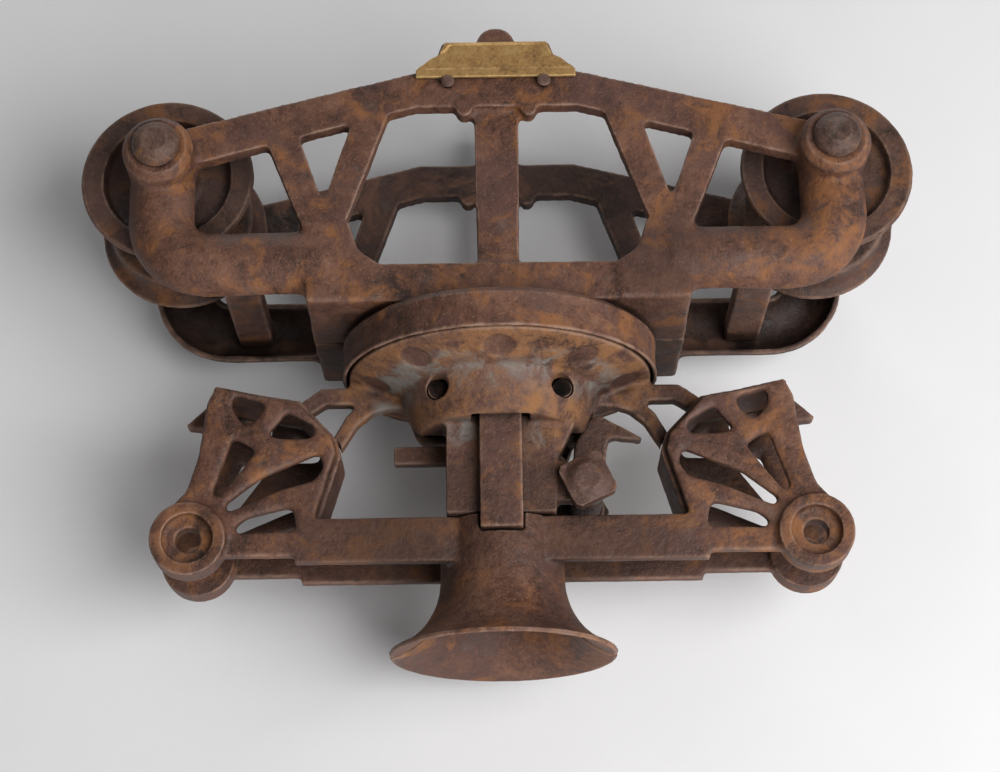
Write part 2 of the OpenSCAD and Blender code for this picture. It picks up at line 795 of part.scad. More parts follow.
// Yoke: one casting with both arms and half of the bell
module yoke_arm() {
    polygon([
        [0, -yoke_top], g_foot, g_foot - [0, guard_sink], [arm_end[0], -yoke_top - guard_sink], arm_end,
        [arm_step_x, arm_end[1]], [arm_step_x, -yoke_top - yoke_h], [0, -yoke_top - yoke_h]
    ]);
}

module half_bell() {
    flare_in = [for (i = [flare_steps:-1:0]) let (a = flare_deg * i / flare_steps)
        [flare_out[i][0] - (bell_wall - (bell_wall - rim_wall_t) * i / flare_steps) * cos(a),
         flare_out[i][1] + (bell_wall - (bell_wall - rim_wall_t) * i / flare_steps) * sin(a)]];
    turned(180) polygon(concat([[neck_bore_r, yoke_top], [neck_r, yoke_top]], flare_out, flare_in));
}

module yoke() {
    rim_cut = 16;
    difference() {
        union() {
            both_ends() difference() {
                slab(yoke_in_z, yoke_in_z + yoke_t) yoke_arm();
                pin_y(0, 0, (neck_r + neck_bore_r) / 2, -through, 0);
            }
            half_bell();
        }
        translate([-bell_r - 5, -bell_low - 5, -eps]) cube([2 * bell_r + 10, rim_cut + 5, rim_gap + eps]);
        translate([-strap_w / 2 - seat_gap, -strap_low - seat_gap, throat_z])
            cube([strap_w + 2 * seat_gap, strap_low - yoke_top + seat_gap + 1, through]);
        for (x = [-dowel_x(), dowel_x()]) pin_z([x, -dowel_y()], dowel_r() + run_gap, -1, dowel_half());
        pin_z([0, -strap_rivet_y()], strap_rivet_r() + run_gap, 0, through);
    }
}

function dowel_r() = 3;
function dowel_half() = 10;
function dowel_x() = (neck_r + neck_bore_r) / 2;
function dowel_y() = yoke_top + yoke_h / 2;
function strap_rivet_r() = 3;
function strap_rivet_y() = (strap_low + yoke_top) / 2;
function strap_rivet_end() = throat_z + strap_t - rivet_cover;

module near_yoke() { color(iron) lay() yoke(); }
module far_yoke() { color(iron) lay() mirror([0, 0, 1]) yoke(); }

// Dowels that line up the two halves of the bell
module bell_dowels() {
    color(bolt_iron) lay() for (x = [-dowel_x(), dowel_x()])
        pin_z([x, -dowel_y()], dowel_r(), -dowel_half(), dowel_half());
}

// Throat strap: a flat bar from inside the drum down to the yoke
module strap() {
    difference() {
        translate([-strap_w / 2, -strap_low, throat_z]) cube([strap_w, strap_low - strap_high, strap_t]);
        pin_z([0, -strap_rivet_y()], strap_rivet_r() + run_gap, 0, strap_rivet_end());
    }
}

module near_strap() { color(iron) lay() strap(); }
module far_strap() { color(iron) lay() mirror([0, 0, 1]) strap(); }

module strap_rivets() {
    color(bolt_iron) lay() both_sides()
        pin_z([0, -strap_rivet_y()], strap_rivet_r(), neck_bore_r + 1, strap_rivet_end());
}

// Lever bolt: a big square head with rounded corners, and its shank through both lugs
module lever_bolt() {
    head_h = 10;
    crown_h = 4;
    head_flat = 1.12;
    color(bolt_iron) lay() {
        pin_z(lever_p, lever_bolt_r, -lug_out_z - lever_nut_t(), lug_out_z);
        translate([lever_x, -lever_y, lug_out_z]) intersection() {
            cylinder(r = lever_head_r, h = head_h);
            rotate([0, 0, 25]) translate([-lever_head_r, -lever_head_r] * head_flat / sqrt(2))
                cube([1, 1, 0] * lever_head_r * head_flat * sqrt(2) + [0, 0, head_h]);
        }
        translate([lever_x, -lever_y, lug_out_z + head_h])
            cylinder(r1 = lever_head_r * 0.75, r2 = lever_head_r * 0.45, h = crown_h);
    }
}

function lever_nut_t() = 10;

module lever_nut() {
    color(bolt_iron) lay() difference() {
        translate([lever_x, -lever_y, -lug_out_z - lever_nut_t()])
            cylinder(r = lever_head_r - 2, h = lever_nut_t(), $fn = 6);
        pin_z(lever_p, lever_bolt_r + run_gap, -through, through);
    }
}

// Lock lever: a hub on the bolt, a beak outside the drum, and a bar through the throat
module lock_lever() {
    bar_y = 53;
    bar_half = 6.8;
    tail_x = drum_r + 4;
    hub_half = lug_in_z - seat_gap;
    elbow = [throat_x - 3, -bar_y - 5];
    horn = [[0, 0], [4, 33], [9.5, 48], [23, 45], [37.5, 40]];
    color(dark_iron) lay() difference() {
        union() {
            pin_z(lever_p, lug_r() - 2, -hub_half, hub_half);
            slab(-lever_half, lever_half) {
                chain([lever_p, elbow, [0, -bar_y]], [9, bar_half + 1, bar_half]);
                translate([-tail_x, -bar_y - bar_half + side_skin])
                    square([tail_x, 2 * (bar_half - side_skin)]);
                chain([for (p = horn) lever_p + p], [11, 11.5, 9, 5, 1.8]);
            }
        }
        pin_z(lever_p, lever_bolt_r + run_gap, -through, through);
    }
}

// Grip jaws: forked hooks that hang from the drum pins and close under the pulley's head
function jaw_hub_r() = jaw_pin_r + 3;
function jaw_fork_in() = lever_half + 4;
function jaw_fork_out() = jaw_fork_in() + 7;

module jaw() {
    hub = jaw_hub_r();
    fork_in = jaw_fork_in();
    fork_out = jaw_fork_out();
    knee = [jaw_x - 19, -jaw_y - 10.5];
    toe = [jaw_x - 29.5, -jaw_y - 21];
    color(dark_iron) lay() difference() {
        union() {
            pin_z([jaw_x, -jaw_y], hub, -fork_out, fork_out);
            both_sides() slab(fork_in, fork_out) {
                chain([[jaw_x, -jaw_y], knee, toe], [hub - 3, 6, 3.5]);
            }
        }
        pin_z([jaw_x, -jaw_y], jaw_pin_r + run_gap, -through, through);
    }
}

module left_jaw() { mirror([1, 0, 0]) jaw(); }
module right_jaw() { jaw(); }

module jaw_pin(side) {
    color(bolt_iron) lay() pin_z([side * jaw_x, -jaw_y], jaw_pin_r, -jaw_pin_half, jaw_pin_half);
}

module left_jaw_pin() { jaw_pin(-1); }
module right_jaw_pin() { jaw_pin(1); }

near_side_frame();
far_side_frame();
turntable_ring();
frame_studs();
name_plate();
name_plate_rivets();
left_cross_tie();
right_cross_tie();
tie_rivets();
near_left_axle();
near_right_axle();
far_left_axle();
far_right_axle();
axle_nuts();
near_left_wheel();
near_right_wheel();
far_left_wheel();
far_right_wheel();
near_left_bush();
near_right_bush();
far_left_bush();
far_right_bush();
swivel_head();
throat();
king_collar();
collar_pin();
near_yoke();
far_yoke();
bell_dowels();
near_left_guard();
near_right_guard();
far_left_guard();
far_right_guard();
left_guard_wall();
right_guard_wall();
near_strap();
far_strap();
strap_rivets();
lever_bolt();
lever_nut();
lock_lever();
left_jaw();
right_jaw();
left_jaw_pin();
right_jaw_pin();
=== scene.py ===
"""Looks of a swivel hay trolley: rusty cast iron, worn wheels and bolts, and a dull brass plate."""
import json
import math
from collections import namedtuple

import bmesh
import bpy
import numpy
from mathutils import Matrix, Vector


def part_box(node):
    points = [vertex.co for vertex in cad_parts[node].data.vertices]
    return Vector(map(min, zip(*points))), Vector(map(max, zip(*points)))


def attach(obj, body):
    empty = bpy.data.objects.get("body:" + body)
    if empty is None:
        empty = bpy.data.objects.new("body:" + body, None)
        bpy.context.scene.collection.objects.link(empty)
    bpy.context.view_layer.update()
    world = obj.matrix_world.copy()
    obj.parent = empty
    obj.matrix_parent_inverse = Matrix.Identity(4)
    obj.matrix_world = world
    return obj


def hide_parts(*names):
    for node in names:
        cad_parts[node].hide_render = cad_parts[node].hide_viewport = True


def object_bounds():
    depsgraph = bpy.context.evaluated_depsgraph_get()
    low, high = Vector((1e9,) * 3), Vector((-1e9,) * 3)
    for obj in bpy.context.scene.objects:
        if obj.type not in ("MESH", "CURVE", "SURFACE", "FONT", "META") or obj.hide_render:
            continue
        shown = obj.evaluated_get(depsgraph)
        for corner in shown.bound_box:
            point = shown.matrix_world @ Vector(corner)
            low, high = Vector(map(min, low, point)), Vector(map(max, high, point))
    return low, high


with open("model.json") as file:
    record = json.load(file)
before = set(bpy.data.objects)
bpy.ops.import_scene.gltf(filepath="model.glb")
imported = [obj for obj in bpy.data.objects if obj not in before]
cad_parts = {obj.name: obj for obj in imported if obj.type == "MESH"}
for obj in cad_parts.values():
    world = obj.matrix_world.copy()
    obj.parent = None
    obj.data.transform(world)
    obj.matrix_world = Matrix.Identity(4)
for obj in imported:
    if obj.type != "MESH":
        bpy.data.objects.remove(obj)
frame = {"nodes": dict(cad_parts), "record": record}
cad_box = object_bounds()
NODES = frame["nodes"]
BODY_OF = {node: body for body, nodes in frame["record"]["behaviour"]["bodies"].items() for node in nodes}
MM = 0.001

# Camera: the picture is taken from above, a little from the bell's side
CAMERA_TARGET = Vector((0, -0.02269, 0.109))
CAMERA_DISTANCE = 1.5
CAMERA_TILT = math.radians(20)
CAMERA_ROLL = math.radians(-0.8)
CAMERA_LENS = 78.3
CAMERA_SENSOR = 36

# Light: a broad lamp from the right, weak ones from the bell's side and from behind, and an even sky
LAMP_AIM = Vector((0.05, -0.02, 0.08))
MAIN_LAMP = {"place": Vector((1.10, -0.68, 1.60)), "size": 1.8, "watts": 48}
LOW_LAMP = {"place": Vector((0.28, -3.10, 0.72)), "size": 1.4, "watts": 28}
BACK_LAMP = {"place": Vector((-0.70, 3.20, 0.75)), "size": 1.4, "watts": 28}
SKY_LIGHT = 0.115
SKY_SHOWN = 0.30

# Floor: width, tones in the middle and far out (the darker one painted shade), distances between which they
# fade, and the paint's face
FLOOR_SIZE = 8
FLOOR_TONE = (0.82, 0.812, 0.82)
FLOOR_PAINTED_SHADE_TONE = (0.50, 0.495, 0.50)
FLOOR_MIDDLE = 0.55
FLOOR_EDGE = 1.50
FLOOR_ROUGHNESS = 0.85
FLOOR_GLOSS = 0.08
FLOOR_CLOUD_SIZE = 250 * MM
FLOOR_GRAIN_SIZE = 20 * MM
FLOOR_GRAIN_DEPTH = 0.3 * MM

# What irons share: tones, how near another face makes a place darker as painted shade, and the gloss of
# most irons and of the near-black painted-shade iron
PLUM = (0.088, 0.044, 0.036)
WORN_GREY = (0.205, 0.190, 0.172)
EDGE_TONE = (0.290, 0.180, 0.130)
PAINTED_SHADE_REACH = 0.12
GLOSS = 0.32
INNER_GLOSS = 0.05

# Layers of the iron's face, from coarse to fine: sizes of their lumps, and depths of the sandy ones
PLUM_SIZE = 65 * MM
BLOTCH_SIZE = 60 * MM
RUST_SIZE = 32 * MM
WORN_SIZE = 30 * MM
WORN_CLOUD_SIZE = 22 * MM
PATCH_SIZE = 16 * MM
PATCH_DEPTH = 1.0 * MM
GRAIN_SIZE = 4.2 * MM
GRAIN_DEPTH = 0.95 * MM
SPECK_SIZE = 1.4 * MM
SPECK_DEPTH = 0.28 * MM

# Irons: tones, share of worn grey, and seed of the noise
Iron = namedtuple("Iron", "dark middle light orange grey_share seed")
IRONS = {
    "frame_rust": Iron((0.036, 0.017, 0.012), (0.108, 0.047, 0.030), (0.185, 0.088, 0.054),
                       (0.250, 0.100, 0.034), 0.15, 1.0),
    # Far frame: tones far darker than the near frame's, as painted shade where the near frame shades it;
    # its orange rust is real
    "back_rust_and_painted_shade": Iron((0.012, 0.008, 0.006), (0.034, 0.018, 0.013), (0.076, 0.040, 0.028),
                      (0.165, 0.080, 0.050), 0.10, 2.0),
    "head_rust": Iron((0.042, 0.020, 0.014), (0.118, 0.055, 0.036), (0.195, 0.100, 0.064),
                      (0.275, 0.125, 0.048), 0.15, 4.0),
    "swivel_rust": Iron((0.038, 0.018, 0.012), (0.108, 0.047, 0.030), (0.185, 0.090, 0.056),
                        (0.270, 0.110, 0.038), 0.15, 6.0),
    "wheel_rust": Iron((0.024, 0.013, 0.010), (0.074, 0.035, 0.023), (0.130, 0.066, 0.043),
                       (0.200, 0.078, 0.026), 0.10, 8.0),
    "forged_rust": Iron((0.036, 0.018, 0.013), (0.102, 0.047, 0.031), (0.165, 0.084, 0.056),
                        (0.230, 0.094, 0.036), 0.15, 12.0),
    "bolt_rust": Iron((0.036, 0.021, 0.015), (0.098, 0.052, 0.037), (0.165, 0.098, 0.072),
                      (0.210, 0.090, 0.036), 0.30, 16.0),
    # Near black: painted shade on the jaws and their pins, which are seen down a hole
    "inner_iron_painted_shade": Iron((0.006, 0.005, 0.005), (0.012, 0.009, 0.008), (0.022, 0.015, 0.012),
                       (0.040, 0.018, 0.009), 0.0, 18.0),
}

# Brass: tones, share of bare metal, layers of its face, and seed of the noise
BRASS_DARK = (0.16, 0.085, 0.030)
BRASS_MIDDLE = (0.36, 0.205, 0.070)
BRASS_LIGHT = (0.50, 0.33, 0.13)
BRASS_EDGE = (0.62, 0.45, 0.20)
BRASS_METAL = 0.45
BRASS_PATCH_SIZE = 12 * MM
BRASS_PATCH_DEPTH = 0.4 * MM
BRASS_GRAIN_SIZE = 2.2 * MM
BRASS_GRAIN_DEPTH = 0.25 * MM
BRASS_SEED = 20.0

# Rust, wear and painted shade at single places: points, inner reach and outer reach, all in millimetres
ARM_RUST = ([(160, -158, 130), (205, -155, 130)], 14, 42)
ARM_SHADE = ([(-95, -139, 141), (-50, -139, 141), (70, -139, 141)], 25, 70)
BEND_RUST = ([(225, 62, 198)], 20, 65)
CORNER_SHADE = ([(112, 37, 190)], 18, 48)
FOOT_RUST = ([(-120, -5, 70), (120, -5, 70)], 60, 95)
THROAT_SHADE = ([(-28, -110, 145), (28, -110, 145)], 16, 34)

# The same, but from the middle of a rope pin, and from the middle of the turning joint
BOSS_RUST = ([(0, 0, -33), (0, 0, 33)], 12, 30)
DRUM_RUST = ([(42, -78, 26)], 12, 30)
DRUM_WORN = ([(-26, -65, 36), (27, -65, 36)], 6, 16)

# Bands round the turning joint's axis: radius and half width, in millimetres
FLANGE_RUST = [(92, 24), (58, 9)]
FLANGE_WORN = [(76, 15)]

# Shallow round dimples in the swivel flange's cone, which have no rust or wear
DIMPLES = 9
DIMPLE_REACH = 86.5 * MM
DIMPLE_Y = -26 * MM
DIMPLE_INNER = 9.5 * MM
DIMPLE_OUTER = 11.5 * MM

# Cast skins: voxel, smoothing passes, and depths of lumps and dents
Cast = namedtuple("Cast", "voxel passes lump dent")
FRAME_CAST = Cast(1.5 * MM, 6, 0.7 * MM, 0.55 * MM)
RING_CAST = Cast(1.6 * MM, 4, 0.7 * MM, 0.35 * MM)
HEAD_CAST = Cast(1.45 * MM, 3, 0.5 * MM, 0.25 * MM)
YOKE_CAST = Cast(1.3 * MM, 5, 0.5 * MM, 0.25 * MM)
STRAP_CAST = Cast(1.4 * MM, 3, 0.5 * MM, 0.3 * MM)
WALL_CAST = Cast(1.4 * MM, 3, 0.4 * MM, 0.3 * MM)
WHEEL_CAST = Cast(1.6 * MM, 3, 0.5 * MM, 0.3 * MM)
TIE_CAST = WHEEL_CAST
LEVER_CAST = Cast(1.3 * MM, 3, 0.4 * MM, 0.3 * MM)
JAW_CAST = LEVER_CAST
PIN_CAST = Cast(1.0 * MM, 3, 0.3 * MM, 0.2 * MM)
BOLT_CAST = Cast(1.0 * MM, 4, 0.4 * MM, 0.3 * MM)
PLATE_CAST = Cast(0.7 * MM, 2, 0.2 * MM, 0.15 * MM)
RIVET_CAST = Cast(0.6 * MM, 3, 0.1 * MM, 0.1 * MM)

# Skins: how near two vertices count as one, how far a smoothing pass goes, and sizes of lumps and dents
WELD = 0.002 * MM
SMOOTHING = 0.5
LUMP_SIZE = 28 * MM
DENT_SIZE = 7 * MM

# Places worn round: middle of the near right rope guard, from its pin, and the frames' corners
GUARD_MIDDLE = Vector((-47, 54, 33)) * MM
NEAR_CORNERS = [Vector((x, 14, 188)) * MM for x in (-126, 126)]
FAR_CORNERS = [Vector((x, 14, 30)) * MM for x in (-126, 126)]

# Rounding: full within the inner reach and none beyond the outer one, and the number of passes
ROUND_INNER = 42 * MM
ROUND_OUTER = 60 * MM
ROUND_PASSES = 22

# Domed heads of the axle bolts, a little wider than their plain solids
HEAD_RADIUS = 16.5 * MM
HEAD_HEIGHT = 10.8 * MM


class Graph:
    """A material's node tree, with short calls for the few kinds of node that are used here."""

    def __init__(self, name):
        self.material = bpy.data.materials.new(name)
        self.material.use_nodes = True
        self.tree = self.material.node_tree
        self.shader = self.tree.nodes["Principled BSDF"]
        self.place = self.add("ShaderNodeTexCoord").outputs["Object"]

    def add(self, kind, **settings):
        """A new node of a kind, with its settings."""
        made = self.tree.nodes.new(kind)
        for name, value in settings.items():
            setattr(made, name, value)
        return made

    def feed(self, socket, value):
        """Links an output to a socket, or sets the socket to a constant."""
        if isinstance(value, bpy.types.NodeSocket):
            self.tree.links.new(value, socket)
        else:
            socket.default_value = value

    def noise(self, size, detail=4, rough=0.55, warp=0.0, shift=0.0):
        """Cloudy values from 0 to 1, with lumps of about this size in metres."""
        made = self.add("ShaderNodeTexNoise", noise_dimensions="4D")
        self.feed(made.inputs["Vector"], self.place)
        self.feed(made.inputs["W"], shift)
        self.feed(made.inputs["Scale"], 1 / size)
        self.feed(made.inputs["Detail"], detail)
        self.feed(made.inputs["Roughness"], rough)
        self.feed(made.inputs["Distortion"], warp)
        return made.outputs["Fac"]

    def openness(self, reach):
        """1 on open faces, and less the deeper a place lies between others within this reach in metres."""
        made = self.add("ShaderNodeAmbientOcclusion", samples=4)
        made.inputs["Distance"].default_value = reach
        return made.outputs["AO"]

    def ramp(self, value, *stops):
        """A colour ramp through (position, colour) stops."""
        made = self.add("ShaderNodeValToRGB")
        points = made.color_ramp.elements
        while len(points) < len(stops):
            points.new(0.5)
        for point, (position, colour) in zip(points, stops):
            point.position = position
            point.color = (*colour, 1)
        self.feed(made.inputs["Fac"], value)
        return made.outputs["Color"]

    def step(self, value, low, high, to_low=0.0, to_high=1.0):
        """A smooth step of a value from one range to another."""
        made = self.add("ShaderNodeMapRange", interpolation_type="SMOOTHSTEP")
        self.feed(made.inputs["Value"], value)
        for name, number in zip(("From Min", "From Max", "To Min", "To Max"), (low, high, to_low, to_high)):
            self.feed(made.inputs[name], number)
        return made.outputs["Result"]

    def calc(self, operation, first, second):
        """One step of arithmetic on two values."""
        made = self.add("ShaderNodeMath", operation=operation)
        self.feed(made.inputs[0], first)
        self.feed(made.inputs[1], second)
        return made.outputs["Value"]

    def mix(self, share, first, second):
        """Colour first where share is 0 and second where it is 1."""
        made = self.add("ShaderNodeMix", data_type="RGBA")
        self.feed(made.inputs["Factor"], share)
        for name, colour in (("A", first), ("B", second)):
            socket = next(s for s in made.inputs if s.name == name and s.type == "RGBA")
            self.feed(socket, colour if isinstance(colour, bpy.types.NodeSocket) else (*colour, 1))
        return next(s for s in made.outputs if s.type == "RGBA")

    def spot(self, centre, inner, outer):
        """1 within the inner radius of a point and 0 outside the outer radius."""
        made = self.add("ShaderNodeVectorMath", operation="DISTANCE")
        self.feed(made.inputs[0], self.place)
        made.inputs[1].default_value = centre
        return self.step(made.outputs["Value"], outer, inner)

    def ring(self, centre, radius, half):
        """1 at this distance from the line along Y through a point, and 0 from half away."""
        away = self.add("ShaderNodeVectorMath", operation="SUBTRACT")
        self.feed(away.inputs[0], self.place)
        away.inputs[1].default_value = centre
        flat = self.add("ShaderNodeVectorMath", operation="MULTIPLY")
        self.feed(flat.inputs[0], away.outputs["Vector"])
        flat.inputs[1].default_value = (1, 0, 1)
        reach = self.add("ShaderNodeVectorMath", operation="LENGTH")
        self.feed(reach.inputs[0], flat.outputs["Vector"])
        off = self.calc("ABSOLUTE", self.calc("SUBTRACT", reach.outputs["Value"], radius), 0.0)
        return self.step(off, half, 0.4 * half)

    def edges(self):
        """About 0.5 on flat faces, more on outer edges and less in corners."""
        return self.add("ShaderNodeNewGeometry").outputs["Pointiness"]

    def bump(self, height, depth, below=None):
        """A face roughened to this depth in metres, on top of the roughness below."""
        made = self.add("ShaderNodeBump")
        self.feed(made.inputs["Height"], height)
        made.inputs["Distance"].default_value = depth
        if below is not None:
            self.feed(made.inputs["Normal"], below)
        return made.outputs["Normal"]


def scaled(colour, factor):
    """A colour made lighter or darker by a factor."""
    return tuple(factor * c for c in colour)


def near(centre, inner, outer):
    """A maker of a spot's mask, for a material that isn't there yet."""
    return lambda graph: graph.spot(centre, inner, outer)


def around(centre, radius, half):
    """A maker of a ring's mask, for a material that isn't there yet."""
    return lambda graph: graph.ring(centre, radius, half)


def spots(points, inner, outer, origin=(0, 0, 0)):
    """Makers of spots at points from an origin; points and reaches are in millimetres."""
    return [near(Vector(origin) + Vector(point) * MM, inner * MM, outer * MM) for point in points]


def bands(sizes, middle):
    """Makers of rings round a middle; radii and half widths are in millimetres."""
    return [around(middle, radius * MM, half * MM) for radius, half in sizes]


def without(g, share, masks):
    """A share, with none of it where a mask is 1."""
    for mask in masks:
        share = g.calc("MULTIPLY", share, g.calc("SUBTRACT", 1.0, mask))
    return share


def brown_tone(g, seed, patch, grain, speck):
    """How light the brown is: blotches, with finer layers on them."""
    tone = g.calc("MULTIPLY", g.noise(BLOTCH_SIZE, 6, 0.62, 0.6, seed), 0.40)
    for layer, share in ((patch, 0.34), (grain, 0.17), (speck, 0.09)):
        tone = g.calc("ADD", tone, g.calc("MULTIPLY", layer, share))
    return tone


def rust_share(g, seed, patch, rust_at, bare):
    """Where orange rust lies: in clouds, in corners and, with ragged borders, at places asked for."""
    rust = g.calc("MULTIPLY", g.step(g.noise(RUST_SIZE, 7, 0.7, 0.8, seed + 11), 0.50, 0.64), 0.75)
    rust = g.calc("MAXIMUM", rust, g.step(g.edges(), 0.475, 0.41, 0.0, 0.40))
    for mask in rust_at:
        ragged = g.calc("MULTIPLY", mask(g), g.step(patch, 0.42, 0.62, 0.0, 0.85))
        rust = g.calc("MAXIMUM", rust, ragged)
    return without(g, rust, bare)


def worn_share(g, seed, grey_share, worn_at, bare):
    """Where iron is worn grey: in clouds and, with ragged borders, at places asked for."""
    worn = g.calc("MULTIPLY", g.step(g.noise(WORN_SIZE, 6, 0.7, 0.4, seed + 17), 0.56, 0.70), grey_share)
    for mask in worn_at:
        cloud = g.step(g.noise(WORN_CLOUD_SIZE, 6, 0.65, 0.6, seed + 19), 0.44, 0.60, 0.0, 0.85)
        ragged = g.calc("MULTIPLY", mask(g), cloud)
        worn = g.calc("MAXIMUM", worn, ragged)
    return without(g, worn, bare)


def rusty_iron(name, rust_at=(), worn_at=(), bare_at=(), shade_at=(), gloss=GLOSS):
    """Old cast iron: blotches of brown, orange rust, painted shade in hollows and between parts, worn
    edges, and a sandy skin.
    """
    dark, middle, light, orange, grey_share, seed = IRONS[name]
    g = Graph(name)
    patch = g.noise(PATCH_SIZE, 6, 0.65, 0.4, seed + 3)
    grain = g.noise(GRAIN_SIZE, 4, 0.6, 0.0, seed + 5)
    speck = g.noise(SPECK_SIZE, 2, 0.5, 0.0, seed + 7)
    tone = brown_tone(g, seed, patch, grain, speck)
    bare = [mask(g) for mask in bare_at]
    rust = rust_share(g, seed, patch, rust_at, bare)
    worn = worn_share(g, seed, grey_share, worn_at, bare)
    plum = g.calc("MULTIPLY", g.step(g.noise(PLUM_SIZE, 4, 0.6, 0.4, seed + 9), 0.47, 0.60), 0.55)
    edge = g.calc("MULTIPLY", g.step(g.edges(), 0.507, 0.555), g.step(patch, 0.40, 0.58, 0.25, 0.90))
    # Painted shade: darker where other faces lie within the reach, up to 12 cm away
    painted_hollow_shade = g.step(g.openness(PAINTED_SHADE_REACH), 0.70, 0.15, 0.0, 0.85)

    colour = g.ramp(tone, (0.41, dark), (0.50, middle), (0.59, light))
    colour = g.mix(plum, colour, PLUM)
    colour = g.mix(rust, colour, orange)
    colour = g.mix(g.step(grain, 0.42, 0.28, 0.0, 0.60), colour, dark)
    colour = g.mix(worn, colour, WORN_GREY)
    colour = g.mix(edge, colour, EDGE_TONE)
    colour = g.mix(g.step(speck, 0.57, 0.75, 0.0, 0.42), colour, scaled(light, 1.6))
    # Painted shade: the iron darkened towards its dark tone at the places asked for
    for mask in shade_at:
        colour = g.mix(g.calc("MULTIPLY", mask(g), 0.48), colour, dark)
    colour = g.mix(painted_hollow_shade, colour, scaled(dark, 0.35))
    g.feed(g.shader.inputs["Base Color"], colour)

    rough = g.step(tone, 0.40, 0.60, 0.46, 0.72)
    g.feed(g.shader.inputs["Roughness"], g.calc("ADD", rough, g.calc("MULTIPLY", rust, 0.16)))
    g.feed(g.shader.inputs["Specular IOR Level"], gloss)
    normal = g.bump(patch, PATCH_DEPTH)
    normal = g.bump(grain, GRAIN_DEPTH, normal)
    normal = g.bump(speck, SPECK_DEPTH, normal)
    g.feed(g.shader.inputs["Normal"], normal)
    return g.material


def dull_brass(name, seed):
    """Brass gone brown, with yellow left on its raised edges."""
    g = Graph(name)
    patch = g.noise(BRASS_PATCH_SIZE, 6, 0.65, 0.5, seed)
    grain = g.noise(BRASS_GRAIN_SIZE, 4, 0.6, 0.0, seed + 2)
    tone = g.calc("ADD", g.calc("MULTIPLY", patch, 0.6), g.calc("MULTIPLY", grain, 0.4))
    colour = g.ramp(tone, (0.36, BRASS_DARK), (0.50, BRASS_MIDDLE), (0.66, BRASS_LIGHT))
    edge = g.step(g.edges(), 0.51, 0.57)
    colour = g.mix(g.calc("MULTIPLY", edge, 0.7), colour, BRASS_EDGE)
    g.feed(g.shader.inputs["Base Color"], colour)
    g.feed(g.shader.inputs["Metallic"], BRASS_METAL)
    g.feed(g.shader.inputs["Roughness"], g.step(tone, 0.35, 0.65, 0.62, 0.42))
    normal = g.bump(patch, BRASS_PATCH_DEPTH)
    normal = g.bump(grain, BRASS_GRAIN_DEPTH, normal)
    g.feed(g.shader.inputs["Normal"], normal)
    return g.material


def pale_floor(name):
    """A smooth painted floor with faint clouds in its tone, palest in the middle, with painted shade that
    darkens it far out.
    """
    g = Graph(name)
    cloud = g.noise(FLOOR_CLOUD_SIZE, 5, 0.6)
    paint = g.ramp(cloud, (0.3, scaled(FLOOR_TONE, 0.95)), (0.7, FLOOR_TONE))
    # Painted shade: the floor darkens from the middle outwards
    middle = g.spot((0, 0, 0), FLOOR_MIDDLE, FLOOR_EDGE)
    g.feed(g.shader.inputs["Base Color"], g.mix(middle, FLOOR_PAINTED_SHADE_TONE, paint))
    g.feed(g.shader.inputs["Roughness"], FLOOR_ROUGHNESS)
    g.feed(g.shader.inputs["Specular IOR Level"], FLOOR_GLOSS)
    g.feed(g.shader.inputs["Normal"], g.bump(g.noise(FLOOR_GRAIN_SIZE, 4), FLOOR_GRAIN_DEPTH))
    return g.material


def link(piece):
    """Puts an object into the scene."""
    bpy.context.scene.collection.objects.link(piece)
    return piece


def cloud_texture(name, size, depth):
    """Cloudy unevenness with lumps of this size, in so many finer steps."""
    made = bpy.data.textures.new(name, "CLOUDS")
    made.noise_scale = size
    made.noise_depth = depth
    return made


LUMPS = cloud_texture("lumps", LUMP_SIZE, 2)
DENTS = cloud_texture("dents", DENT_SIZE, 3)


def joined(name, nodes, domes):
    """One object from copies of the nodes' meshes, with any domes on them."""
    made = bmesh.new()
    for node in nodes:
        made.from_mesh(NODES[node].data)
    bmesh.ops.remove_doubles(made, verts=made.verts, dist=WELD)
    for dome in domes:
        add_dome(made, *dome)
    mesh = bpy.data.meshes.new(name)
    made.to_mesh(mesh)
    made.free()
    return link(bpy.data.objects.new(name, mesh))


def add_dome(made, foot, radius, height, out):
    """A closed low dome on a foot point, which looks along +Z or -Z (out is 1 or -1)."""
    rings, sides, fullness = 8, 40, 2.6
    profile = []
    for i in range(rings):
        rise = i / rings
        profile.append((radius * (1 - rise ** fullness) ** (1 / fullness), rise * height))
    loops = []
    for reach, rise in profile:
        angles = [2 * math.pi * k / sides for k in range(sides)]
        loops.append([made.verts.new(foot + Vector((reach * math.cos(t), reach * math.sin(t), out * rise)))
                      for t in angles])
    faces = [made.faces.new(loops[0]), made.faces.new(loops[-1])]
    for low, high in zip(loops, loops[1:]):
        for k in range(sides):
            after = (k + 1) % sides
            faces.append(made.faces.new((low[k], low[after], high[after], high[k])))
    bmesh.ops.recalc_face_normals(made, faces=faces)


def guard_middle(pin, out):
    """Middle of the guard over a rope pin, on the near side (out is 1) or the far side (-1)."""
    end = 1 if pin.x > 0 else -1
    return pin + Vector((end * GUARD_MIDDLE.x, GUARD_MIDDLE.y, out * GUARD_MIDDLE.z))


